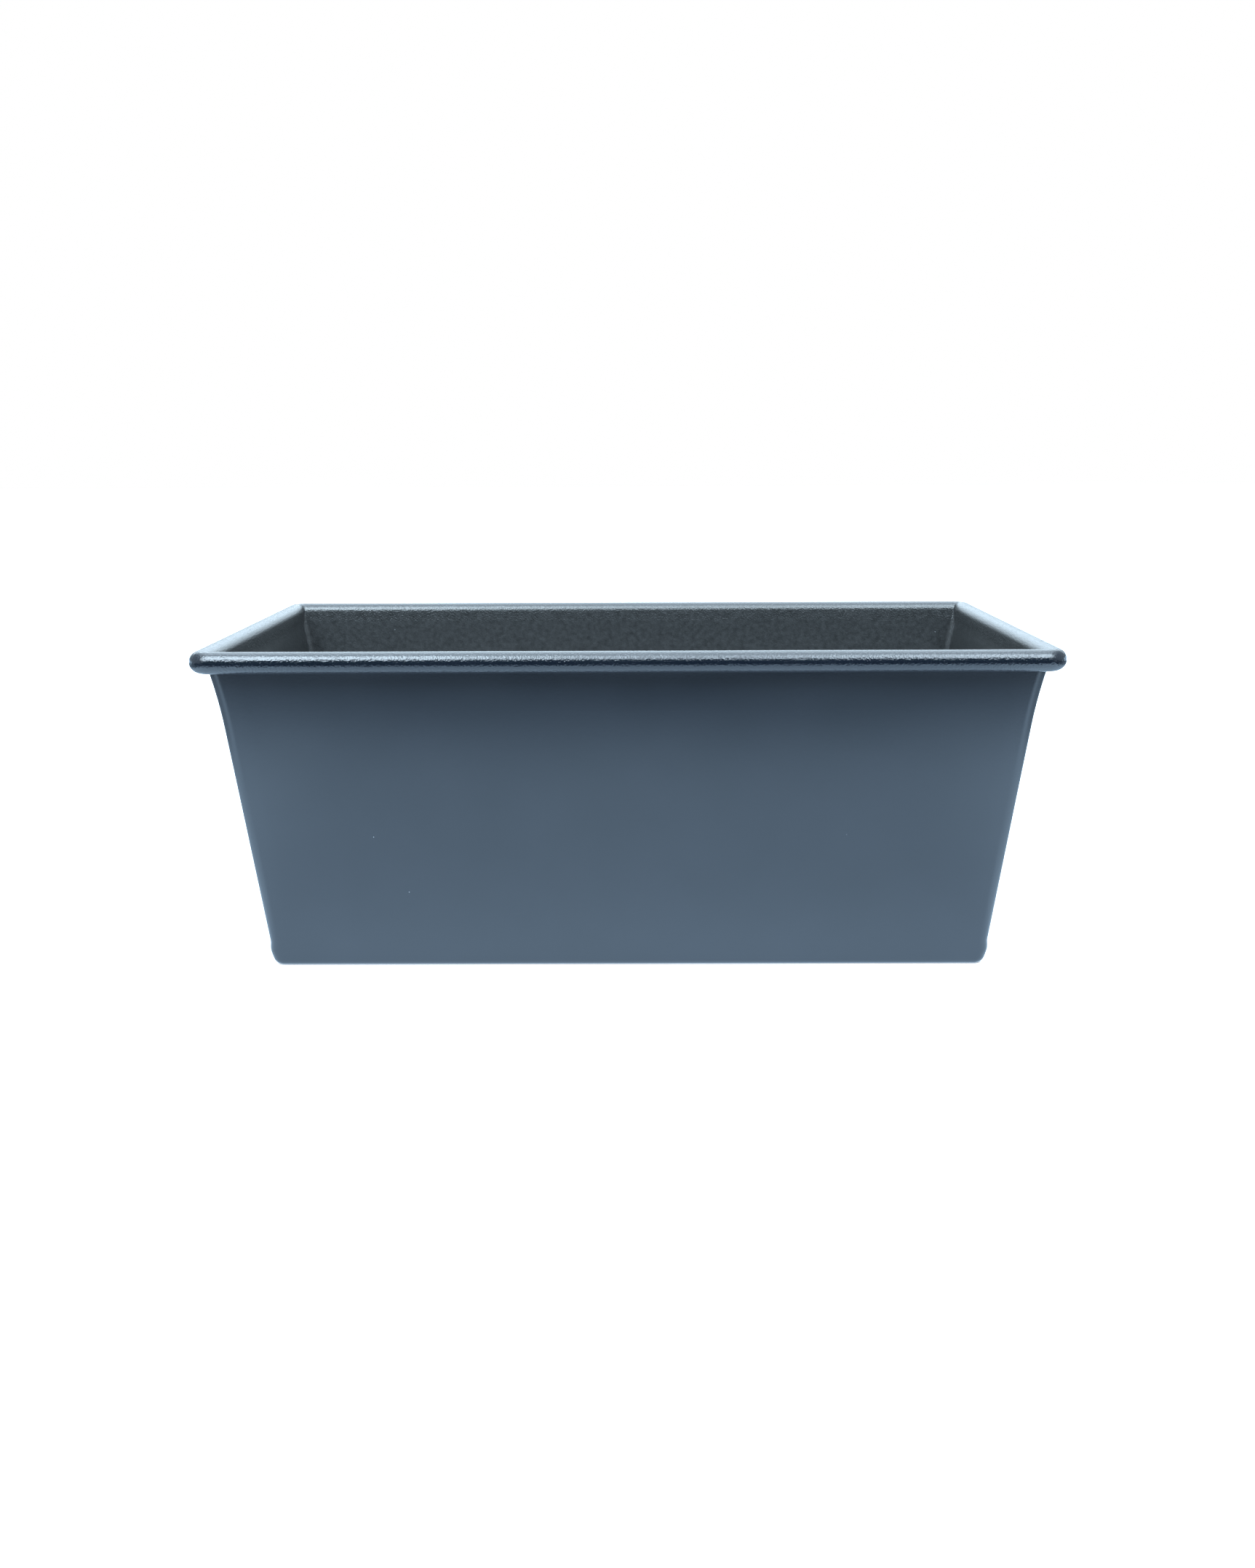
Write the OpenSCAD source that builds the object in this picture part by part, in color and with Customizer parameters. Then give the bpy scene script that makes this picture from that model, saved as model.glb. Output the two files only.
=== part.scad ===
// Loaf pan folded from one sheet-steel blank, with a wire rolled into its rim.
// Millimetres. The origin is the centre of the base on the table, +X runs along
// the length, +Y towards the back and +Z up.

/* [Rim] */
// Overall length across the rolled rim
rim_length = 213; // [180:1:300]
// Overall width across the rolled rim
rim_width = 113.5; // [100:0.5:160]
// Diameter of the steel wire inside the rim
wire_d = 4.3; // [3.5:0.1:5]
// Radius of the wire's bend at each corner, along its centre line
wire_bend = 3; // [3:0.1:6]
// Gap between the two butted ends of the wire
wire_butt = 0.4; // [0.2:0.1:2]
// Clearance between the wire and the sheet rolled round it
wire_clearance = 0.06; // [0.06:0.01:0.1]
// How far the sheet is rolled below the wire, in degrees past straight down
curl_return = 45; // [20:5:50]

/* [Body] */
// Overall height from the table to the top of the rim
pan_height = 84.3; // [65:0.1:110]
// Lean of the four walls from the vertical, in degrees
wall_lean = 6.3; // [4:0.1:8]
// Thickness of the steel sheet
sheet = 0.5; // [0.4:0.05:0.55]
// Outside radius of the bend between the floor and the walls
floor_bend = 2; // [1.6:0.1:2.2]
// Outside radius of the four upright corner bends
corner_bend = 3; // [2.9:0.1:3.5]

/* [Folded corners] */
// Play left between two folded layers of sheet
fold_gap = 0.12; // [0.1:0.01:0.15]
// Angle of the ears' slanting folds from the upright corners, in degrees
ear_angle = 38.7; // [34:0.1:40]
// Distance between the trimmed edges of the two ears on one end wall
ear_spacing = 12; // [8:1:30]
// How far the ears' outer faces stand proud of the rolled rim's inboard side
ear_stand = 0.9; // [0:0.1:1]
// How far the tight start of each fold bulges from the end wall
heel_bulge = 0.4; // [0.3:0.1:1.2]
// How far the corners spread outward just below the rim
top_flare = 0.9; // [0.3:0.05:0.9]
// Height over which the corners spread outward
flare_height = 14; // [10:1:16]

/* [Hidden] */

// Steps in an upright corner bend, in a hairpin fold and round the rolled rim
CORNER_STEPS = 8;
FOLD_STEPS = 4;
CURL_STEP_ANGLE = 15;
// Rings in the floor bend, in the start of the ears and in the flare
FLOOR_RINGS = 4;
HEEL_RINGS = 6;
HEEL_FADE_RINGS = 3;
FLARE_RINGS = 3;
// Sideways turn of the wall where it steps in beside a corner, at the floor
JOG_ANGLE = 30;
// Share of the step that the straight piece of the jog takes at the floor
JOG_SHARE = 0.5;
// Half of the fine seam between two rolled rims at a corner
HALF_SEAM = 0.05;
// Heights at which the bulge starts and the wall starts to fold, above which it lies
// folded flat, and at which the bulge has died away
BULGE_START = 0.6;
HEEL_START = 2.1;
FOLDED_FROM = 4;
HEEL_END = 6.8;
// Distance of the ears' top edges below the underside of the rolled rim
EAR_TOP_GAP = 0.4;

// Rolled rim: radii of its outer and inner faces, and its centre line
curl_out = wire_d / 2 + wire_clearance + sheet;
curl_in = wire_d / 2 + wire_clearance;
rim_z = pan_height - curl_out;
rim_x = rim_length / 2 - curl_out;
rim_y = rim_width / 2 - curl_out;

// Walls: the sheet is measured level, so it looks a little thicker than it is
rise = tan(wall_lean);
wall = sheet / cos(wall_lean);
layer = wall + fold_gap;
side_foot = rim_y - curl_in - rise * rim_z;
end_foot = rim_x - curl_out + ear_stand - rise * rim_z;

// Floor bend: its centre lies this far inside the wall's foot
bend_inset = floor_bend * (1 - sin(wall_lean)) / cos(wall_lean);
bend_turn = 90 - wall_lean;

// Ears: their width grows from nothing where the wall first lies folded flat
mid_bend = corner_bend - wall / 2;
ear_growth = tan(ear_angle) / cos(wall_lean);
ear_top = rim_z - curl_out - EAR_TOP_GAP;
ear_cut = (side_foot - wall / 2 - mid_bend - ear_spacing / 2 + ear_growth * FOLDED_FROM)
        / (ear_growth - rise);
flare_foot = ear_top - flare_height;

function ease(s) = s <= 0 ? 0 : s >= 1 ? 1 : s * s * (3 - 2 * s);
function bulge(z) = heel_bulge * ease((z - BULGE_START) / (FOLDED_FROM - BULGE_START))
        * (1 - ease((z - FOLDED_FROM) / (HEEL_END - FOLDED_FROM)));
function flare(z) = top_flare * pow(max(0, z - flare_foot) / flare_height, 2);

// Middle planes of the side walls and of the ears' outer layers at a height
function side_mid(z) = side_foot + rise * z - wall / 2;
function ear_mid(z) = end_foot + rise * z - wall / 2 + bulge(z) + flare(z);

// The end wall steps in behind the ears by this much, in one S-shaped turn
function step_in(z) = 2 * layer + bulge(z);
function turn(z) = JOG_ANGLE
        + (180 - JOG_ANGLE) * ease((z - HEEL_START) / (FOLDED_FROM - HEEL_START));
function turn_radius(z, a) = step_in(z) * (1 - JOG_SHARE * (1 + cos(a)) / 2) / (2 * (1 - cos(a)));
function straight(z, a) = a < 180
    ? JOG_SHARE * step_in(z) / 2 / tan(a / 2)
    : max(0, min(ear_growth * (z - FOLDED_FROM), side_mid(z) - mid_bend - ear_spacing / 2));

// One point of a section: its place on the sheet's middle line and its outward normal
function arc_point(cx, cy, r, a) = [cx + r * cos(a), cy + r * sin(a), cos(a), sin(a)];

// Level section of the sheet at a height, from the middle of the front wall round one
// corner, out along the ear, back under it and on to the middle of the end wall
function quarter(z) =
    let (x = ear_mid(z), y = -side_mid(z), a = turn(z), r = turn_radius(z, a),
         s = straight(z, a), base_y = y + mid_bend, fold_y = base_y + (a < 180 ? 0 : s),
         fx = x - r + r * cos(a) - s * sin(a), fy = fold_y + r * sin(a) + s * cos(a),
         ex = fx + r * cos(a) - r, ey = fy + r * sin(a))
    concat(
        [[0, y, 0, -1]],
        [for (k = [0:CORNER_STEPS])
            arc_point(x - mid_bend, base_y, mid_bend, 90 * k / CORNER_STEPS - 90)],
        [for (k = [0:FOLD_STEPS]) arc_point(x - r, fold_y, r, a * k / FOLD_STEPS)],
        [for (k = [FOLD_STEPS:-1:0]) let (b = a * k / FOLD_STEPS)
            [fx + r * cos(a) - r * cos(b), fy + r * sin(a) - r * sin(b), cos(b), sin(b)]],
        [for (k = [1:CORNER_STEPS / 2]) [ex, ey + k * mid_bend / CORNER_STEPS * 2, 1, 0]],
        [[ex, 0, 1, 0]]);

// Columns of a quarter section
FRONT_SEAM = 1 + CORNER_STEPS / 2;
FOLD_FIRST = CORNER_STEPS + 2;
FOLD_LAST = FOLD_FIRST + FOLD_STEPS;
END_SEAM = FOLD_LAST + 1 + FOLD_STEPS;
LAST = END_SEAM + CORNER_STEPS / 2 + 1;

// The same columns on the rolled rim, where only the front and the end strips remain
function rim_quarter(x, y, r, z) = [for (i = [0:LAST])
    i == 0 ? [0, -y, z] :
    i <= FRONT_SEAM ? let (a = 45 * (i - 1) / (FRONT_SEAM - 1) - 90)
        [x - r + r * cos(a) - HALF_SEAM, r - y + r * sin(a), z] :
    i < END_SEAM ? [x, r - y, z] :
    i < LAST ? let (a = 45 * (i - END_SEAM) / (LAST - 1 - END_SEAM) - 45)
        [x - r + r * cos(a), r - y + r * sin(a) + HALF_SEAM, z] :
    [x, 0, z]];

// A closed ring from a quarter by mirroring it across both middle planes
function ring(q) = concat(
    q,
    [for (i = [LAST - 1:-1:0]) [q[i][0], -q[i][1], q[i][2]]],
    [for (i = [1:LAST]) [-q[i][0], -q[i][1], q[i][2]]],
    [for (i = [LAST - 1:-1:1]) [-q[i][0], q[i][1], q[i][2]]]);

// A face of the wall: the section at a height, moved outward from the middle line
function wall_ring(z, out) = ring([for (p = quarter(z)) [p[0] + out * p[2], p[1] + out * p[3], z]]);

// A face of the floor bend at a turn from level, at a radius about the bend's centre
function floor_ring(a, r) = let (z = floor_bend - r * cos(a))
    wall_ring(z, wall / 2 - bend_inset + r * sin(a) - rise * z);

// The sheet leaves an ear's top edge along a tangent to the roll. The start angle is
// measured about the wire from straight outward, with the top of the rim at 90 degrees
function curl_start(in, down) = 180 + atan2(down, in) - acos(curl_mid / norm([in, down]));
curl_mid = curl_in + sheet / 2;
side_start = curl_start(rim_y - side_mid(ear_top), rim_z - ear_top);
end_start = curl_start(rim_x - ear_mid(ear_top) + step_in(ear_top), rim_z - ear_top);
curl_end = curl_return - 180;
curl_steps = ceil((side_start - curl_end) / CURL_STEP_ANGLE);

// A face of the rolled rim at a share of the roll, at a radius about the wire
function curl_ring(share, r) =
    let (side_a = side_start + share * (curl_end - side_start),
         end_a = end_start + share * (curl_end - end_start),
         front = rim_quarter(rim_x + r * cos(side_a), rim_y + r * cos(side_a),
                             wire_bend + r * cos(side_a), rim_z + r * sin(side_a)),
         end = rim_quarter(rim_x + r * cos(end_a), rim_y + r * cos(end_a),
                           wire_bend + r * cos(end_a), rim_z + r * sin(end_a)))
    ring([for (i = [0:LAST]) i < END_SEAM ? front[i] : end[i]]);

// Heights of the wall's sections above the floor bend
wall_levels = concat(
    [for (k = [0:HEEL_RINGS]) HEEL_START + (FOLDED_FROM - HEEL_START) * k / HEEL_RINGS],
    [for (k = [1:HEEL_FADE_RINGS]) FOLDED_FROM + (HEEL_END - FOLDED_FROM) * k / HEEL_FADE_RINGS],
    [ear_cut, flare_foot],
    [for (k = [1:FLARE_RINGS]) flare_foot + flare_height * k / FLARE_RINGS]);
CUT_ROW = FLOOR_RINGS + 1 + HEEL_RINGS + 1 + HEEL_FADE_RINGS;
TOP_ROW = FLOOR_RINGS + len(wall_levels);

// All rings of one face of the sheet: on its outside (side = 1) or its inside (side = -1)
function face_rings(side) = concat(
    [for (k = [0:FLOOR_RINGS])
        floor_ring(bend_turn * k / FLOOR_RINGS, floor_bend - (1 - side) * sheet / 2)],
    [for (z = wall_levels) wall_ring(z, side * wall / 2)],
    [for (k = [0:curl_steps]) curl_ring(k / curl_steps, curl_mid - side * sheet / 2)]);

// Whether the sheet has metal between two rows and two columns of a quarter
function has_metal(row, col) =
    row < CUT_ROW ? true :
    row < TOP_ROW ? col < FOLD_FIRST || col >= FOLD_LAST :
    col < FRONT_SEAM || col >= END_SEAM;

// Column of the quarter that a column of the whole ring repeats
function quarter_col(i) = let (c = i % (2 * LAST)) c < LAST ? c : 2 * LAST - 1 - c;

// A closed solid from the rings of the sheet's two faces. Cut edges are closed where
// metal meets none, and the floor is closed from its middle
module sheet_solid(outside, inside) {
    rows = len(outside);
    cols = len(outside[0]);
    back = rows * cols;
    centre = 2 * back;
    function at(j, i) = j * cols + i % cols;
    function quad(a, b, c, d) = [[a, b, c], [a, c, d]];
    function metal(j, i) = j >= 0 && j < rows - 1 && has_metal(j, quarter_col((i + cols) % cols));
    cells = [for (j = [0:rows - 2], i = [0:cols - 1]) if (metal(j, i)) [j, i]];
    skin = [for (p = cells) let (j = p[0], i = p[1])
        each concat(
            quad(at(j, i), at(j + 1, i), at(j + 1, i + 1), at(j, i + 1)),
            quad(back + at(j, i), back + at(j, i + 1), back + at(j + 1, i + 1), back + at(j + 1, i)),
            metal(j, i + 1) ? [] :
                quad(at(j, i + 1), at(j + 1, i + 1), back + at(j + 1, i + 1), back + at(j, i + 1)),
            metal(j, i - 1) ? [] :
                quad(at(j + 1, i), at(j, i), back + at(j, i), back + at(j + 1, i)),
            metal(j + 1, i) ? [] :
                quad(at(j + 1, i + 1), at(j + 1, i), back + at(j + 1, i), back + at(j + 1, i + 1)))];
    floor_fan = [for (i = [0:cols - 1]) each [
        [centre, at(0, i), at(0, i + 1)],
        [centre + 1, back + at(0, i + 1), back + at(0, i)]]];
    polyhedron(
        points = concat([for (r = outside) each r], [for (r = inside) each r],
                        [[0, 0, outside[0][0][2]], [0, 0, inside[0][0][2]]]),
        faces = concat(skin, floor_fan));
}

// The folded blank: floor, four walls, four ears folded flat on the outside of the end
// walls, and the top edges rolled outward round the wire
module pan_body() {
    color("#3c434b")
        sheet_solid(face_rings(1), face_rings(-1));
}

// A straight run of the wire along X, between two points on its axis
module wire_run(from, to) {
    translate([from, 0, 0])
        rotate([0, 90, 0])
            cylinder(d = wire_d, h = to - from, $fn = 48);
}

// The wire hoop inside the rolled rim, with its two ends butted behind the back wall
module rim_wire() {
    run_x = rim_x - wire_bend;
    run_y = rim_y - wire_bend;
    color("silver")
        translate([0, 0, rim_z]) {
            translate([0, -rim_y, 0])
                wire_run(-run_x, run_x);
            for (s = [-1, 1])
                translate([s * rim_x, 0, 0])
                    rotate([0, 0, 90])
                        wire_run(-run_y, run_y);
            translate([0, rim_y, 0]) {
                wire_run(-run_x, -wire_butt / 2);
                wire_run(wire_butt / 2, run_x);
            }
            for (k = [0:3])
                translate([(k == 0 || k == 3 ? 1 : -1) * run_x, (k < 2 ? 1 : -1) * run_y, 0])
                    rotate([0, 0, 90 * k])
                        rotate_extrude(angle = 90, $fn = 96)
                            translate([wire_bend, 0])
                                circle(d = wire_d, $fn = 48);
        }
}

pan_body();
rim_wire();
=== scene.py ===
"""Looks of the folded loaf pan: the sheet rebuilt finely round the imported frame, its
coating and wire materials, a pale studio and the camera."""
import math

import bmesh
import bpy
import numpy as np
from mathutils import Matrix, Vector


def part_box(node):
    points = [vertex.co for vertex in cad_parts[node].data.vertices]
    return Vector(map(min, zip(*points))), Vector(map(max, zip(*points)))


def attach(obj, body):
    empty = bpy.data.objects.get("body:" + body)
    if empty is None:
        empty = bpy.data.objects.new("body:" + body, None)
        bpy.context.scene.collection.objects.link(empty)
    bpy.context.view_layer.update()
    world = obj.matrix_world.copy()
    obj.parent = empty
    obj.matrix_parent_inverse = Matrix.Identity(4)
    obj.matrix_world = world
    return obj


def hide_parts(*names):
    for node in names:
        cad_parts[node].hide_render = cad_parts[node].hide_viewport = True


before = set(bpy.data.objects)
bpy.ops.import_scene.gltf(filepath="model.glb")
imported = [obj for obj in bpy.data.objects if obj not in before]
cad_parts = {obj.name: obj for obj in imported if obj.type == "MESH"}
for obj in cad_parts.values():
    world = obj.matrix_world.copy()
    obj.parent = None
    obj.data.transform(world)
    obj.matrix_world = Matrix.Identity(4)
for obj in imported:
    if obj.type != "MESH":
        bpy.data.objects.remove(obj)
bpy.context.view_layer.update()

MM = 0.001

# ---- The design, in millimetres and radians ----

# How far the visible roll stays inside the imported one
INSET = 0.005

# Places of the rolled rim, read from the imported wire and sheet
PAN_TOP = np.array(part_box("pan_body")[1]) / MM
WIRE_LOW, WIRE_HIGH = (np.array(corner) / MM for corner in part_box("rim_wire"))
WIRE_R = (WIRE_HIGH[2] - WIRE_LOW[2]) / 2
RIM_X, RIM_Y, RIM_Z = WIRE_HIGH - WIRE_R
ROLL_OUT = min(PAN_TOP - (RIM_X, RIM_Y, RIM_Z)) - INSET

# The sheet, its bends and the play between folded layers
SHEET = 0.5
WALL_LEAN = math.radians(6.3)
FLOOR_BEND = 2.0
CORNER_BEND = 3.0
WIRE_BEND = 3.0
FOLD_GAP = 0.12
# The ears: the angle of their slanting folds from the upright corners, the distance
# between two of them, their distance below the roll, and how far they stand proud of the
# roll's inboard side
EAR_ANGLE = math.radians(38.7)
EAR_SPACING = 12.0
EAR_TOP_GAP = 0.4
EAR_STAND = 0.9
# The heels at the foot of the folds: how far they bulge, and the heights at which the
# bulge starts, the wall starts to fold, it lies folded flat and the bulge has died away
HEEL_BULGE = 0.4
BULGE_START = 0.6
HEEL_START = 2.1
FOLDED_FROM = 4.0
HEEL_END = 6.8
# How far the corners spread just below the rim, and over what height
TOP_FLARE = 0.9
FLARE_HEIGHT = 14.0
# The jog beside a corner at the floor: its sideways turn, and the share of the step that
# its straight piece takes
JOG_ANGLE = math.radians(30)
JOG_SHARE = 0.5
# Half of the fine seam in the roll at a corner, and the angle about the wire where the
# roll ends
HALF_SEAM = 0.05
ROLL_END = math.radians(-135)

# Sizes that follow from the design
ROLL_MID = ROLL_OUT - SHEET / 2
RISE = math.tan(WALL_LEAN)
WALL = SHEET / math.cos(WALL_LEAN)
LAYER = WALL + FOLD_GAP
SIDE_FOOT = RIM_Y - (ROLL_OUT - SHEET) - RISE * RIM_Z
END_FOOT = RIM_X - ROLL_OUT + EAR_STAND - RISE * RIM_Z
BEND_INSET = FLOOR_BEND * (1 - math.sin(WALL_LEAN)) / math.cos(WALL_LEAN)
MID_BEND = CORNER_BEND - WALL / 2
EAR_GROWTH = math.tan(EAR_ANGLE) / math.cos(WALL_LEAN)
EAR_TOP = RIM_Z - ROLL_OUT - EAR_TOP_GAP
EAR_REACH = SIDE_FOOT - WALL / 2 - MID_BEND - EAR_SPACING / 2
EAR_CUT = (EAR_REACH + EAR_GROWTH * FOLDED_FROM) / (EAR_GROWTH - RISE)
FLARE_FOOT = EAR_TOP - FLARE_HEIGHT

# ---- Rows and columns of the mesh ----

# Columns in each stretch of a quarter of the level section
FRONT_COLS = 20
BEND_COLS = 16
EAR_COLS = 8
FOLD_COLS = 10
END_COLS = 10
# Columns of a quarter at which the strips of the blank change
FRONT_SEAM = FRONT_COLS + BEND_COLS // 2
FOLD_FIRST = FRONT_COLS + BEND_COLS + EAR_COLS
FOLD_LAST = FOLD_FIRST + FOLD_COLS
END_SEAM = FOLD_LAST + EAR_COLS + FOLD_COLS
LAST = END_SEAM + BEND_COLS // 2 + END_COLS

# Rows in each stretch of the height
FLOOR_ROWS = 7
FLOOR_BEND_ROWS = 8
HEEL_ROWS = 12
FADE_ROWS = 6
WALL_ROWS = 14
CUT_ROWS = 4
FLARE_ROWS = 10
NECK_ROWS = 4
ROLL_ROWS = 48
# Rows of a face where the wall starts, the ears are cut, they end and the roll starts
WALL_ROW = FLOOR_ROWS + FLOOR_BEND_ROWS
CUT_ROW = WALL_ROW + HEEL_ROWS + 1 + FADE_ROWS + WALL_ROWS - 1
TOP_ROW = CUT_ROW + CUT_ROWS + FLARE_ROWS
ROLL_ROW = TOP_ROW + NECK_ROWS
# Heights of the wall's rows
LEVELS = np.concatenate([
    np.linspace(HEEL_START, FOLDED_FROM, HEEL_ROWS + 1),
    np.linspace(FOLDED_FROM, HEEL_END, FADE_ROWS + 1)[1:],
    np.linspace(HEEL_END, EAR_CUT, WALL_ROWS + 1)[1:],
    np.linspace(EAR_CUT, FLARE_FOOT, CUT_ROWS + 1)[1:],
    np.linspace(FLARE_FOOT, EAR_TOP, FLARE_ROWS + 1)[1:]])


# ---- Level sections of the sheet ----

def ease(s):
    """Smooth step from 0 to 1."""
    s = np.clip(s, 0, 1)
    return s * s * (3 - 2 * s)


def bulge(z):
    """How far the tight start of an ear's fold stands out at a height."""
    grow = ease((z - BULGE_START) / (FOLDED_FROM - BULGE_START))
    return HEEL_BULGE * grow * (1 - ease((z - FOLDED_FROM) / (HEEL_END - FOLDED_FROM)))


def flare(z):
    """How far the corners spread outward below the rim."""
    return TOP_FLARE * (max(0, z - FLARE_FOOT) / FLARE_HEIGHT) ** 2


def side_mid(z):
    """Half width over the side walls' middle planes."""
    return SIDE_FOOT + RISE * z - WALL / 2


def ear_mid(z):
    """Half length over the middle planes of the ears' outer layers."""
    return END_FOOT + RISE * z - WALL / 2 + bulge(z) + flare(z)


def step_in(z):
    """How far the end wall lies behind the ears' outer layers."""
    return 2 * LAYER + bulge(z)


def line(start, end, count, normal=(0, 0)):
    """Points along a straight stretch, each with the sheet's outward normal."""
    shares = np.linspace(0, 1, count + 1)[:, None]
    start, end = np.array(start), np.array(end)
    return np.hstack([start + shares * (end - start), np.tile(normal, (count + 1, 1))])


def arc(centre, radius, start, end, count):
    """Points along a round stretch. A negative radius turns the normals inward."""
    turns = np.linspace(start, end, count + 1)
    away = np.column_stack([np.cos(turns), np.sin(turns)])
    return np.hstack([centre + radius * away, away])


def joined(*stretches):
    """One run of points from stretches that each start where the last one ended."""
    return np.vstack([stretches[0], *(stretch[1:] for stretch in stretches[1:])])


def quarter(z):
    """The sheet's middle line in a level section, from the middle of the front wall
    round a corner, out along the ear, back under it and to the middle of the end wall."""
    x, y = ear_mid(z), -side_mid(z)
    base_y = y + MID_BEND
    folding = ease((z - HEEL_START) / (FOLDED_FROM - HEEL_START))
    turn = JOG_ANGLE + (math.pi - JOG_ANGLE) * folding
    arcs_share = 1 - JOG_SHARE * (1 + math.cos(turn)) / 2
    radius = step_in(z) * arcs_share / (2 * (1 - math.cos(turn)))
    if z < FOLDED_FROM:
        reach, back = 0, JOG_SHARE * step_in(z) / 2 / math.tan(turn / 2)
    else:
        reach = back = max(0, min(EAR_GROWTH * (z - FOLDED_FROM), -base_y - EAR_SPACING / 2))
    across = np.array([math.cos(turn), math.sin(turn)])
    along = np.array([-across[1], across[0]])
    tip = np.array([x - radius, base_y + reach])
    root = tip + radius * across + back * along
    end = root + radius * across - (radius, 0)
    return joined(
        line((0, y), (x - MID_BEND, y), FRONT_COLS, (0, -1)),
        arc((x - MID_BEND, base_y), MID_BEND, -math.pi / 2, 0, BEND_COLS),
        line((x, base_y), (x, base_y + reach), EAR_COLS, (1, 0)),
        arc(tip, radius, 0, turn, FOLD_COLS),
        line(tip + radius * across, root, EAR_COLS, across),
        arc(root + radius * across, -radius, turn, 0, FOLD_COLS),
        line(end, end + (0, MID_BEND), BEND_COLS // 2, (1, 0)),
        line(end + (0, MID_BEND), (end[0], 0), END_COLS, (1, 0)))


def rim_quarter(x, y, radius):
    """The same columns on the rolled rim, where only the front and end strips remain."""
    centre = np.array([x - radius, radius - y])
    seam = -math.pi / 4
    middle = np.tile(centre + radius * np.array([math.cos(seam), math.sin(seam)]),
                     (END_SEAM - FRONT_SEAM + 1, 1))
    front = joined(line((0, -y), (x - radius - HALF_SEAM, -y), FRONT_COLS),
                   arc(centre - (HALF_SEAM, 0), radius, 2 * seam, seam, BEND_COLS // 2))
    end = joined(arc(centre + (0, HALF_SEAM), radius, seam, 0, BEND_COLS // 2),
                 line((x, radius - y + HALF_SEAM), (x, 0), END_COLS))
    return np.vstack([front[:, :2], middle[1:-1], end[:, :2]])


def ring(points, z):
    """A closed ring from a quarter, by mirroring it across both middle planes."""
    q = np.column_stack([points[:, :2], np.broadcast_to(z, len(points))])
    return np.vstack([q, (q * (1, -1, 1))[-2::-1], (q * (-1, -1, 1))[1:],
                      (q * (-1, 1, 1))[-2:0:-1]])


def wall_ring(z, out):
    """A face of the wall at a height, moved outward from the sheet's middle line."""
    section = quarter(z)
    return ring(section[:, :2] + out * section[:, 2:], z)


def floor_ring(turn, radius):
    """A face of the floor bend, at a turn from level and a radius about its centre."""
    z = FLOOR_BEND - radius * math.cos(turn)
    return wall_ring(z, WALL / 2 - BEND_INSET + radius * math.sin(turn) - RISE * z)


def roll_start(inboard):
    """Angle about the wire at which sheet rising from an ear's top meets the roll."""
    below = RIM_Z - EAR_TOP
    return math.pi + math.atan2(below, inboard) - math.acos(ROLL_MID / math.hypot(inboard, below))


def roll_ring(share, radius):
    """A face of the rolled rim at a share of the roll, at a radius about the wire."""
    strips = []
    for inboard in (RIM_Y - side_mid(EAR_TOP), RIM_X - ear_mid(EAR_TOP) + step_in(EAR_TOP)):
        start = roll_start(inboard)
        angle = start + share * (ROLL_END - start)
        out = radius * math.cos(angle)
        points = rim_quarter(RIM_X + out, RIM_Y + out, WIRE_BEND + out)
        height = np.full(LAST + 1, RIM_Z + radius * math.sin(angle))
        strips.append(np.column_stack([points, height]))
    on_front = (np.arange(LAST + 1) < END_SEAM)[:, None]
    points = np.where(on_front, *strips)
    return ring(points, points[:, 2])


def face_rings(side):
    """All rings of the sheet's outer face (side 1) or inner face (side -1), from round
    the middle of the floor to the free edge of the roll."""
    bend_radius = FLOOR_BEND - (1 - side) * SHEET / 2
    edge = floor_ring(0, bend_radius)
    floor = [edge * (k / FLOOR_ROWS, k / FLOOR_ROWS, 1) for k in range(1, FLOOR_ROWS)]
    bend = [floor_ring(turn, bend_radius)
            for turn in np.linspace(0, math.pi / 2 - WALL_LEAN, FLOOR_BEND_ROWS + 1)]
    wall = [wall_ring(z, side * WALL / 2) for z in LEVELS]
    roll = [roll_ring(k / ROLL_ROWS, ROLL_MID - side * SHEET / 2) for k in range(ROLL_ROWS + 1)]
    neck = [wall[-1] + (roll[0] - wall[-1]) * k / NECK_ROWS for k in range(1, NECK_ROWS)]
    return np.array(floor + bend + wall + neck + roll)


# ---- Slight unevenness of hand-folded sheet ----

# How far the walls' waves swing, the floor lifts and the roll sinks, in millimetres
PANEL_WAVE = 0.06
FLOOR_WAVE = 0.15
ROLL_DENT = 0.035
# Distances from bends and edges within which the waves are absent, then fade in
BEND_MARGIN = 1.0
STIFF_EDGE = 10.0
# How many times shorter the roll's waves are than the walls'
DENT_PACE = 1.7
# Where in the waves the side walls, the end walls and the roll start, so that they differ
SIDE_SHIFT = 40
END_SHIFT = 90
DENT_SHIFT = 60


def ripple(u, v):
    """Shallow uneven waves from -1 to 1, which are 6 to 20 centimetres long."""
    return (0.5 * np.sin(u / 19 + 0.7) * np.cos(v / 23 + 0.4)
            + 0.3 * np.sin(u / 11 + v / 31 + 2.1)
            + 0.2 * np.sin(v / 9 - u / 27 + 1.2))


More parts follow.
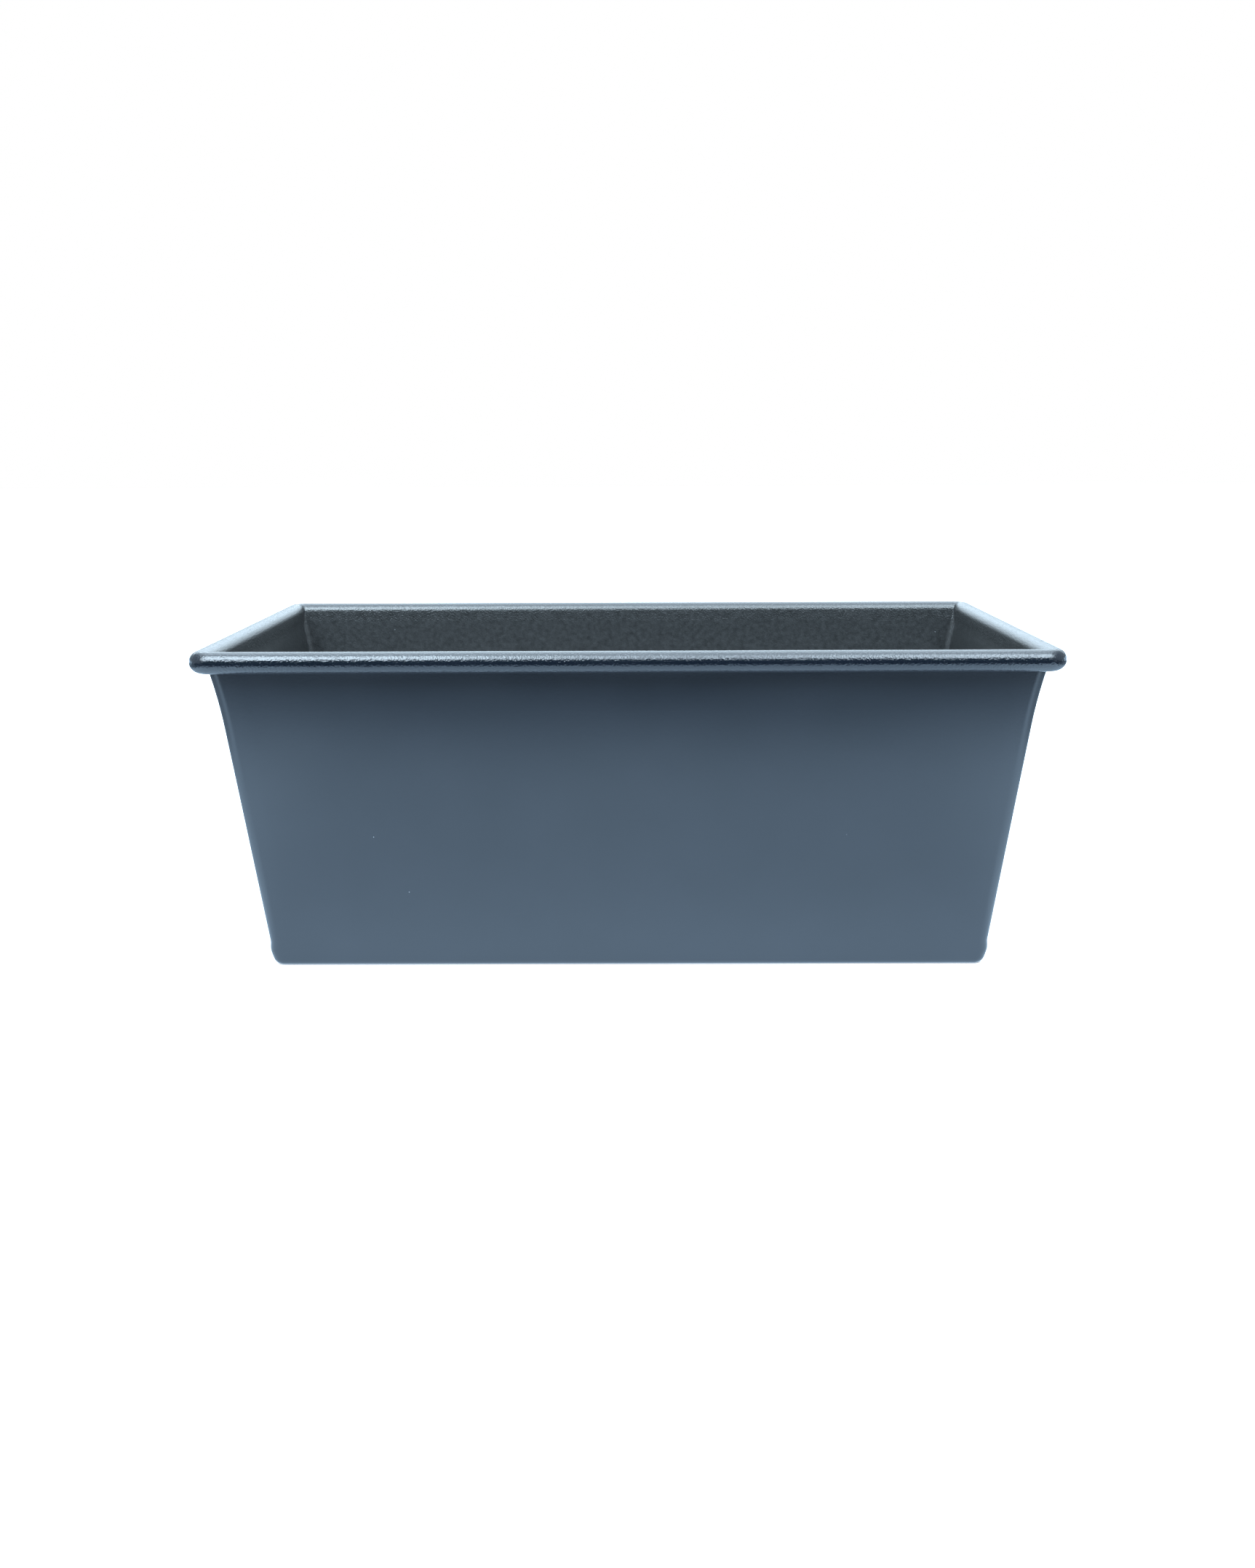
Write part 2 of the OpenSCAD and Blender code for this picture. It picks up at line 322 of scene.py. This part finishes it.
def unevened(p):
    """The rings with shallow waves in walls, floor and rim, which fade at the bends."""
    x, y, z = p[..., 0].copy(), p[..., 1].copy(), p[..., 2].copy()
    to_side, to_end = np.sign(y), np.sign(x)
    clear_x = ease((END_FOOT + RISE * z - CORNER_BEND - BEND_MARGIN - abs(x)) / STIFF_EDGE)
    clear_y = ease((SIDE_FOOT + RISE * z - CORNER_BEND - BEND_MARGIN - abs(y)) / STIFF_EDGE)
    clear_z = ease((z - HEEL_END) / STIFF_EDGE) * ease((EAR_TOP - z) / STIFF_EDGE)
    side_wave = ripple(x + to_side * SIDE_SHIFT, z)
    end_wave = ripple(y + to_end * END_SHIFT, z)
    p[..., 1] += PANEL_WAVE * to_side * side_wave * clear_x * clear_z
    p[..., 0] += PANEL_WAVE * to_end * end_wave * clear_y * clear_z
    lift = FLOOR_WAVE * (0.5 + 0.5 * ripple(x, y)) * clear_x * clear_y
    p[..., 2] += np.where(z < FLOOR_BEND / 2, lift, 0)
    dent = 0.5 + 0.5 * ripple(DENT_PACE * x + DENT_SHIFT, DENT_PACE * y)
    dent *= ROLL_DENT / ROLL_OUT * (z > EAR_TOP)
    long_side = ease((RIM_X - STIFF_EDGE - abs(x)) / STIFF_EDGE) * dent
    short_side = ease((RIM_Y - STIFF_EDGE - abs(y)) / STIFF_EDGE) * dent
    p[..., 1] -= (y - to_side * RIM_Y) * long_side
    p[..., 0] -= (x - to_end * RIM_X) * short_side
    p[..., 2] -= (z - RIM_Z) * (long_side + short_side)
    return p


# ---- The mesh ----

# Points of the mesh that are nearer than this are one point, in millimetres
SAME_POINT = 0.001
SHARP_EDGE = math.radians(40)
# The share of the roll at which the lining starts to fade, and the share it fades over
LINING_END = 0.1
LINING_FADE = 0.05
# How deep the coating's grain is outside and on the lining, as shares of that on the rim
SKIN_GRAIN = 0.06
LINING_GRAIN = 0.4
# Wear of the outer folds, as a share of that of the inner ones, where the mark is wear and also a
# painted highlight
OUTER_WEAR = 0.4


def metal_cells(rows, cols):
    """Which cells between rows and columns of the rings have metal: all up to the ears'
    cut, then all but the outer folds, then the strips with the corners beside them, and
    on the roll only the strips."""
    span = np.arange(cols) % (2 * LAST)
    col = np.where(span < LAST, span, 2 * LAST - 1 - span)
    row = np.arange(rows - 1)[:, None]
    without_fold = (col < FOLD_FIRST) | (col >= FOLD_LAST)
    corner = (col < FRONT_COLS + BEND_COLS) | (col >= END_SEAM - FOLD_COLS)
    strips = (col < FRONT_SEAM) | (col >= END_SEAM)
    return ((row < CUT_ROW) | ((row < TOP_ROW) & without_fold)
            | ((row < ROLL_ROW - 1) & corner) | strips)


def sheet_faces(rows, cols):
    """Faces of the closed sheet, each with its material slot: 0 for skin, 1 for cuts. The
    points are those of the outer face, those of the inner one and the two hubs."""
    metal = metal_cells(rows, cols)
    back = rows * cols
    outer_hub, inner_hub = 2 * back, 2 * back + 1
    row, col = np.nonzero(metal)
    a, b = row * cols + col, row * cols + (col + 1) % cols
    c, d = b + cols, a + cols
    above = np.vstack([metal[1:], np.zeros((1, cols), bool)])
    open_above = ~above[row, col]
    open_after = ~np.roll(metal, -1, axis=1)[row, col]
    open_before = ~np.roll(metal, 1, axis=1)[row, col]
    skin = np.vstack([np.column_stack([a, b, c, d]),
                      np.column_stack([d, c, b, a]) + back])
    cuts = np.vstack([
        np.column_stack([b, b + back, c + back, c])[open_after],
        np.column_stack([a, d, d + back, a + back])[open_before],
        np.column_stack([d, c, c + back, d + back])[open_above]])
    first = np.arange(cols)
    after = (first + 1) % cols
    fans = np.vstack([np.column_stack([np.full(cols, outer_hub), after, first]),
                      np.column_stack([np.full(cols, inner_hub), first + back, after + back])])
    faces = skin.tolist() + cuts.tolist() + fans.tolist()
    slots = [0] * len(skin) + [1] * len(cuts) + [0] * len(fans)
    return faces, slots


def near_column(col, middle, reach):
    """Falls from 1 at a column to 0 at a reach from it."""
    return np.clip(1 - abs(col - middle) / reach, 0, 1)


def surface_marks(rows, cols):
    """Where the sheet has its lining, its wear and its grain, for each point of both faces
    and both hubs. On the inner creases the wear mark is also a painted highlight."""
    row = np.repeat(np.arange(rows), cols)
    span = np.arange(cols) % (2 * LAST)
    col = np.where(span <= LAST, span, 2 * LAST - span)
    lining = 1 - ease(((row - ROLL_ROW) / ROLL_ROWS - LINING_END) / LINING_FADE)
    on_wall = (row > WALL_ROW) & (row < TOP_ROW)
    outer_fold = near_column(col, FOLD_FIRST + FOLD_COLS / 2, FOLD_COLS / 2)
    inner_folds = np.maximum(near_column(col, END_SEAM - FOLD_COLS / 2, FOLD_COLS),
                             near_column(col, FRONT_COLS + BEND_COLS, BEND_COLS / 3))
    outer_wear = OUTER_WEAR * np.tile(outer_fold, rows) * on_wall
    # The inner creases are lightened for wear and also as a painted highlight of light on their
    # curve
    inner_wear_and_highlight = np.tile(inner_folds, rows) * on_wall
    skin_grain = np.full(rows * cols, SKIN_GRAIN)
    inner_grain = np.where(row > TOP_ROW, 1, LINING_GRAIN)
    return {
        "lining": np.concatenate([np.zeros(rows * cols), lining, [0, 1]]),
        "wear_and_highlight": np.concatenate([outer_wear, inner_wear_and_highlight, [0, 0]]),
        "grain": np.concatenate([skin_grain, inner_grain, [SKIN_GRAIN, LINING_GRAIN]])}


def folded_sheet():
    """The folded blank as one closed mesh, with its surface marks as attributes."""
    outside, inside = unevened(face_rings(1)), unevened(face_rings(-1))
    rows, cols = outside.shape[:2]
    hubs = [outside[0].mean(axis=0), inside[0].mean(axis=0)]
    points = np.vstack([outside.reshape(-1, 3), inside.reshape(-1, 3), hubs]) * MM
    faces, slots = sheet_faces(rows, cols)

    mesh = bpy.data.meshes.new("folded_sheet")
    mesh.from_pydata(points.tolist(), [], faces)
    for name, values in surface_marks(rows, cols).items():
        attribute = mesh.attributes.new(name, "FLOAT", "POINT")
        attribute.data.foreach_set("value", values.astype(np.float32))
    mesh.polygons.foreach_set("material_index", slots)
    mesh.polygons.foreach_set("use_smooth", [True] * len(faces))
    clean(mesh)
    mesh.set_sharp_from_angle(angle=SHARP_EDGE)
    piece = bpy.data.objects.new("folded_sheet", mesh)
    bpy.context.collection.objects.link(piece)
    return piece


def clean(mesh):
    """Merges points that lie on each other, as at the foot where the ears have no reach
    yet, and deletes the points where the sheet has no metal."""
    bm = bmesh.new()
    bm.from_mesh(mesh)
    bmesh.ops.remove_doubles(bm, verts=bm.verts, dist=SAME_POINT * MM)
    bmesh.ops.delete(bm, geom=[v for v in bm.verts if not v.link_faces], context="VERTS")
    bm.to_mesh(mesh)
    bm.free()


# ---- Materials ----

# The coating's colours outside and inside, each between two shades
SLATE = ((0.006, 0.010, 0.017, 1), (0.009, 0.013, 0.021, 1))
LINING = ((0.016, 0.0175, 0.0185, 1), (0.043, 0.045, 0.047, 1))
# Its roughness outside, inside, and on the rim, where the roll stretches it
SKIN_ROUGHNESS = (0.23, 0.26)
LINING_ROUGHNESS = 0.3
RIM_ROUGHNESS = 0.15
# What shows where it is worn, which on the inner creases is also a painted highlight, and its
# dust
WEAR_AND_HIGHLIGHT = (0.24, 0.25, 0.26, 1)
DUST = (0.35, 0.37, 0.4, 1)
# A sheared edge, where coating hides the steel and where it doesn't
CUT_COATING = (0.045, 0.058, 0.074, 1)
CUT_STEEL = (0.22, 0.22, 0.22, 1)
# The wire, between two shades
WIRE_STEEL = ((0.30, 0.30, 0.31, 1), (0.46, 0.46, 0.47, 1))
# The range that most of a noise lies in
NOISE_RANGE = (0.3, 0.7)


class Nodes:
    """A node tree with short ways to add and join nodes."""

    def __init__(self, tree):
        self.tree = tree

    def add(self, kind, **settings):
        node = self.tree.nodes.new(kind)
        for name, value in settings.items():
            setattr(node, name, value)
        return node

    def put(self, value, socket):
        """Links an output to a socket, or sets a plain value on it."""
        if isinstance(value, bpy.types.NodeSocket):
            self.tree.links.new(value, socket)
        else:
            socket.default_value = value

    def axes(self, place):
        """X, Y and Z of a place or direction."""
        split = self.add("ShaderNodeSeparateXYZ")
        self.put(place, split.inputs[0])
        return split.outputs

    def math(self, operation, a, b=0.0):
        node = self.add("ShaderNodeMath", operation=operation)
        self.put(a, node.inputs[0])
        self.put(b, node.inputs[1])
        return node.outputs[0]

    def times(self, a, b):
        return self.math("MULTIPLY", a, b)

    def spread(self, value, low, high, to_low=0, to_high=1, kind="LINEAR"):
        """The value moved from one range to another, clamped."""
        node = self.add("ShaderNodeMapRange", interpolation_type=kind)
        for k, item in enumerate((value, low, high, to_low, to_high)):
            self.put(item, node.inputs[k])
        return node.outputs["Result"]

    def ramp(self, value, low, high, to_low, to_high):
        """The value moved smoothly from one range to another."""
        return self.spread(value, low, high, to_low, to_high, kind="SMOOTHSTEP")

    def branch_for_camera(self, seen, lighting, target):
        """What the camera sees directly may differ from what lights the pan."""
        mix = self.add("ShaderNodeMixShader")
        self.put(self.add("ShaderNodeLightPath").outputs["Is Camera Ray"], mix.inputs["Fac"])
        self.put(lighting, mix.inputs[1])
        self.put(seen, mix.inputs[2])
        self.put(mix.outputs[0], target)


class Shader(Nodes):
    """A surface material, whose patterns are sized in millimetres."""

    def __init__(self, name):
        self.material = bpy.data.materials.new(name)
        self.material.use_nodes = True
        super().__init__(self.material.node_tree)
        self.surface = self.tree.nodes["Principled BSDF"]
        self.where = self.add("ShaderNodeTexCoord").outputs["Object"]

    def attribute(self, name):
        return self.add("ShaderNodeAttribute", attribute_name=name).outputs["Fac"]

    def noise(self, size, detail=3, roughness=0.5):
        """Soft noise from 0 to 1 whose patches are about size millimetres across."""
        node = self.add("ShaderNodeTexNoise")
        self.put(self.where, node.inputs["Vector"])
        self.put(1 / (size * MM), node.inputs["Scale"])
        self.put(detail, node.inputs["Detail"])
        self.put(roughness, node.inputs["Roughness"])
        return node.outputs["Fac"]

    def patches(self, size, low=0, high=1, detail=3, roughness=0.5):
        """Noise drawn out to run from low to high."""
        return self.spread(self.noise(size, detail, roughness), *NOISE_RANGE, low, high)

    def blend(self, share, a, b):
        """A colour between a and b."""
        node = self.add("ShaderNodeMix", data_type="RGBA")
        self.put(share, node.inputs["Factor"])
        self.put(a, node.inputs[6])
        self.put(b, node.inputs[7])
        return node.outputs[2]

    def specks(self, spacing, radius, share):
        """1 inside sparse round specks, one at most per cell of the spacing."""
        node = self.add("ShaderNodeTexVoronoi")
        self.put(self.where, node.inputs["Vector"])
        self.put(1 / (spacing * MM), node.inputs["Scale"])
        reach = radius / spacing
        near = self.spread(node.outputs["Distance"], 0.6 * reach, reach, 1, 0)
        chosen = self.add("ShaderNodeSeparateColor")
        self.put(node.outputs["Color"], chosen.inputs[0])
        picked = self.spread(chosen.outputs[0], 1 - share, 1 - share + 0.01)
        return self.times(near, picked)

    def bump(self, height, depth, normal=None):
        """A normal from a height, of which 1 is depth millimetres."""
        node = self.add("ShaderNodeBump")
        self.put(depth * MM, node.inputs["Distance"])
        self.put(height, node.inputs["Height"])
        if normal:
            self.put(normal, node.inputs["Normal"])
        return node.outputs["Normal"]

    def finish(self, **sockets):
        for name, value in sockets.items():
            self.put(value, self.surface.inputs[name.replace("_", " ")])
        return self.material


def coating():
    """Satin non-stick coating: slate blue outside, more neutral and mottled inside, worn
    along its folds, with a painted highlight on the inner creases, dusty, and grained where
    the roll stretches it."""
    s = Shader("satin_coating")
    outside = s.blend(s.patches(18), *SLATE)
    inside = s.blend(s.patches(1.3, detail=5, roughness=0.6), *LINING)
    colour = s.blend(s.attribute("lining"), outside, inside)
    wear_and_highlight = s.spread(s.noise(1.6, detail=4), 0.35, 0.6, 0.3, 1)
    # Lighter colour along the folds: wear, and on the inner creases also a painted highlight
    colour = s.blend(s.times(s.attribute("wear_and_highlight"), wear_and_highlight), colour, WEAR_AND_HIGHLIGHT)
    colour = s.blend(s.specks(spacing=8, radius=0.14, share=0.16), colour, DUST)
    swell = s.spread(s.noise(0.46, detail=2), 0, 1, -0.5, 0.5)
    peel = s.bump(s.times(swell, s.attribute("grain")), depth=0.115)
    skin = s.patches(24, *SKIN_ROUGHNESS, detail=4)
    stretched = s.spread(s.attribute("grain"), LINING_GRAIN, 1, skin, RIM_ROUGHNESS)
    return s.finish(
        Base_Color=colour,
        Roughness=s.spread(s.attribute("lining"), 0, 1, stretched, LINING_ROUGHNESS),
        Specular_IOR_Level=1.0,
        Normal=s.bump(s.noise(0.16, detail=2), depth=0.003, normal=peel))


def cut_edge():
    """Sheared edge of the sheet: bare steel partly covered by the coating."""
    s = Shader("cut_edge")
    bare = s.noise(0.9)
    return s.finish(
        Base_Color=s.blend(s.spread(bare, 0.5, 0.62), CUT_COATING, CUT_STEEL),
        Metallic=s.spread(bare, 0.55, 0.62, 0, 0.9),
        Roughness=s.patches(1.8, 0.35, 0.55),
        Normal=s.bump(s.noise(0.3, detail=2), depth=0.01))


def drawn_wire():
    """Drawn steel wire, slightly uneven in shade, gloss and height."""
    s = Shader("drawn_wire")
    texture = s.noise(0.5, detail=4)
    return s.finish(
        Base_Color=s.blend(s.noise(5), *WIRE_STEEL),
        Metallic=1.0,
        Roughness=s.spread(texture, *NOISE_RANGE, 0.28, 0.45),
        Normal=s.bump(texture, depth=0.006))


# ---- Studio, in metres ----

WHITE = (1, 1, 1, 1)
COOL_LIGHT = (0.72, 0.88, 1, 1)
COOL_FLOOR = (0.55, 0.77, 1, 1)

# Brightness of the surroundings: low in front and at the sides, at the floor and a little
# above it behind, overhead, and high behind
FRONT_HORIZON = 0.03
SIDE_HORIZON = 0.6
BACK_LOW = 0.6
BACK_HORIZON = 3.3
OVERHEAD = 3.4
BACK_TOP = 4.7
# Where they pass into each other, as ranges of a direction's Y from front to sides, sides
# to back and overhead to high behind, of its Z upward behind and from low to overhead, and
# of its X, to either side, from overhead to the sides
FRONT_TO_SIDE = (-0.9, -0.5)
SIDE_TO_BACK = (0.7, 0.9)
TOP_TO_BACK = (0.3, 0.55)
BACK_RISE = (0.05, 0.2)
HORIZON_TO_TOP = (0.4, 0.85)
TOP_TO_SIDE = (0.25, 0.7)

# Brightness of the floor as the pan reflects it: at the pan's foot, near it, below it, and
# far off in front, at the sides and behind
FLOOR_FOOT = 2.0
FLOOR_NEAR = 1.7
FLOOR_BELOW = 0.1
FRONT_FAR = 0.02
SIDE_FAR = 0.5
BACK_FAR = 4.5
# How many times as bright the near floor is off the ends, and in the back half
END_GAIN = 1.35
BACK_SHARE = 0.65
# Where they pass into each other: ranges of the distance from the pan, then of Y
NEAR_TO_FAR = (0.12, 0.21)
BELOW_TO_FOOT = (-0.003, -0.001)
TO_END_GAIN = (0, 0.04)
TO_BACK_SHARE = (-0.06, 0)
FRONT_TO_SIDE_FAR = (-0.12, -0.03)
SIDE_TO_BACK_FAR = (0.3, 0.6)

# The floor that the camera sees: half its length, its colour, roughness and own light
FLOOR_HALF = 4
FLOOR_WHITE = (0.95, 0.96, 0.97, 1)
FLOOR_ROUGHNESS = 0.9
FLOOR_SHINE = 0.45

# The two softboxes: how steeply they shine down, how far they stand from what they are
# aimed at, how high above the floor that is, and how tall they are
KEY_ELEVATION = math.radians(54)
KEY_DISTANCE = 0.9
KEY_AIM = 0.08
KEY_HEIGHT = 0.62


def world_light():
    """Surroundings: dark in front, dim at the sides and bright above and behind."""
    world = bpy.data.worlds.new("studio")
    bpy.context.scene.world = world
    world.use_nodes = True
    n = Nodes(world.node_tree)
    x, y, z = n.axes(n.add("ShaderNodeTexCoord").outputs["Generated"])
    sides = n.ramp(y, *FRONT_TO_SIDE, FRONT_HORIZON, SIDE_HORIZON)
    behind = n.ramp(z, *BACK_RISE, BACK_LOW, BACK_HORIZON)
    horizon = n.ramp(y, *SIDE_TO_BACK, sides, behind)
    above = n.ramp(y, *TOP_TO_BACK, OVERHEAD, BACK_TOP)
    overhead = n.ramp(n.math("ABSOLUTE", x), *TOP_TO_SIDE, above, SIDE_HORIZON)
    surroundings = n.tree.nodes["Background"]
    n.put(COOL_LIGHT, surroundings.inputs["Color"])
    n.put(n.ramp(z, *HORIZON_TO_TOP, horizon, overhead), surroundings.inputs["Strength"])
    backdrop = n.add("ShaderNodeBackground")
    n.put(WHITE, backdrop.inputs["Color"])
    n.branch_for_camera(backdrop.outputs[0], surroundings.outputs[0],
                        n.tree.nodes["World Output"].inputs["Surface"])


def floor_light(s):
    """Glow of the floor as the pan reflects it: bright near the pan's foot, dim far off."""
    x, y = s.axes(s.where)[:2]
    beyond_end = s.math("SUBTRACT", s.math("ABSOLUTE", x), END_FOOT * MM)
    beyond_side = s.math("SUBTRACT", s.math("ABSOLUTE", y), SIDE_FOOT * MM)
    distance = s.math("MAXIMUM", beyond_end, beyond_side)
    near = s.ramp(distance, 0, NEAR_TO_FAR[0] / 2, FLOOR_FOOT, FLOOR_NEAR)
    near = s.times(near, s.ramp(beyond_end, *TO_END_GAIN, 1, END_GAIN))
    near = s.times(near, s.ramp(y, *TO_BACK_SHARE, 1, BACK_SHARE))
    far = s.ramp(y, *FRONT_TO_SIDE_FAR, FRONT_FAR, SIDE_FAR)
    far = s.ramp(y, *SIDE_TO_BACK_FAR, far, BACK_FAR)
    around = s.ramp(distance, *NEAR_TO_FAR, near, far)
    glow = s.add("ShaderNodeEmission")
    s.put(COOL_FLOOR, glow.inputs["Color"])
    s.put(s.ramp(distance, *BELOW_TO_FOOT, FLOOR_BELOW, around), glow.inputs["Strength"])
    return glow.outputs[0]


def floor():
    """Plain white floor, clear from below."""
    corners = [(-1, -1), (1, -1), (1, 1), (-1, 1)]
    mesh = bpy.data.meshes.new("studio_floor")
    points = [(x * FLOOR_HALF, y * FLOOR_HALF, 0) for x, y in corners]
    mesh.from_pydata(points, [], [(0, 1, 2, 3)])
    plane = bpy.data.objects.new("studio_floor", mesh)
    bpy.context.collection.objects.link(plane)
    s = Shader("white_sweep")
    s.finish(Base_Color=FLOOR_WHITE, Roughness=FLOOR_ROUGHNESS, Specular_IOR_Level=0,
             Emission_Color=WHITE, Emission_Strength=FLOOR_SHINE)
    sides = s.add("ShaderNodeMixShader")
    s.put(s.add("ShaderNodeNewGeometry").outputs["Backfacing"], sides.inputs["Fac"])
    s.branch_for_camera(s.surface.outputs[0], floor_light(s), sides.inputs[1])
    s.put(s.add("ShaderNodeBsdfTransparent").outputs[0], sides.inputs[2])
    s.put(sides.outputs[0], s.tree.nodes["Material Output"].inputs["Surface"])
    mesh.materials.append(s.material)


def softbox(name, x, width, power):
    """A soft light above the camera and to one side of it, which shines straight back and
    down on the pan."""
    light = bpy.data.lights.new(name, "AREA")
    light.shape = "RECTANGLE"
    light.size, light.size_y = width, KEY_HEIGHT
    light.energy = power
    light.color = COOL_LIGHT[:3]
    lamp = bpy.data.objects.new(name, light)
    back = Vector((0, -math.cos(KEY_ELEVATION), math.sin(KEY_ELEVATION)))
    lamp.location = Vector((x, 0, KEY_AIM)) + back * KEY_DISTANCE
    lamp.rotation_euler = (math.pi / 2 - KEY_ELEVATION, 0, 0)
    bpy.context.collection.objects.link(lamp)


def studio():
    """Floor, surroundings, and two softboxes of which the left one is stronger."""
    world_light()
    floor()
    softbox("key_left", x=-0.44, width=0.66, power=11.9)
    softbox("key_right", x=0.42, width=0.5, power=6.2)
    bpy.context.scene.view_settings.view_transform = "Standard"


# ---- Camera ----

# Its place, in millimetres: right of the pan's middle, in front of the front rim and above
# the rim
CAMERA_RIGHT = 2.0
CAMERA_STANDOFF = 348.4
CAMERA_ABOVE = 51.9
# Its turns: down from level, to the right, and about its own line of sight
CAMERA_DOWN = math.radians(13.265)
CAMERA_TURN = math.radians(-0.331)
CAMERA_ROLL = math.radians(0.239)
# Its lens and the width of its sensor, in millimetres
LENS = 33.44
SENSOR = 36


def camera():
    """View of the front from a little above the rim."""
    onward = math.cos(CAMERA_DOWN)
    ahead = Vector((math.sin(CAMERA_TURN) * onward, math.cos(CAMERA_TURN) * onward,
                    -math.sin(CAMERA_DOWN)))
    level = Vector((math.cos(CAMERA_TURN), -math.sin(CAMERA_TURN), 0))
    under = ahead.cross(level)
    right = math.cos(CAMERA_ROLL) * level + math.sin(CAMERA_ROLL) * under
    up = math.sin(CAMERA_ROLL) * level - math.cos(CAMERA_ROLL) * under
    data = bpy.data.cameras.new("camera")
    data.lens = LENS
    data.sensor_width = SENSOR
    view = bpy.data.objects.new("camera", data)
    place = Vector((CAMERA_RIGHT, -RIM_Y - CAMERA_STANDOFF, RIM_Z + CAMERA_ABOVE)) * MM
    turned = Matrix((right, up, -ahead)).transposed().to_4x4()
    view.matrix_world = Matrix.Translation(place) @ turned
    bpy.context.collection.objects.link(view)
    bpy.context.scene.camera = view


# ---- The scene ----

camera()
studio()

pan = folded_sheet()
for material in (coating(), cut_edge()):
    pan.data.materials.append(material)
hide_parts("pan_body")
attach(pan, "root")

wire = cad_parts["rim_wire"]
wire.data.materials.clear()
wire.data.materials.append(drawn_wire())
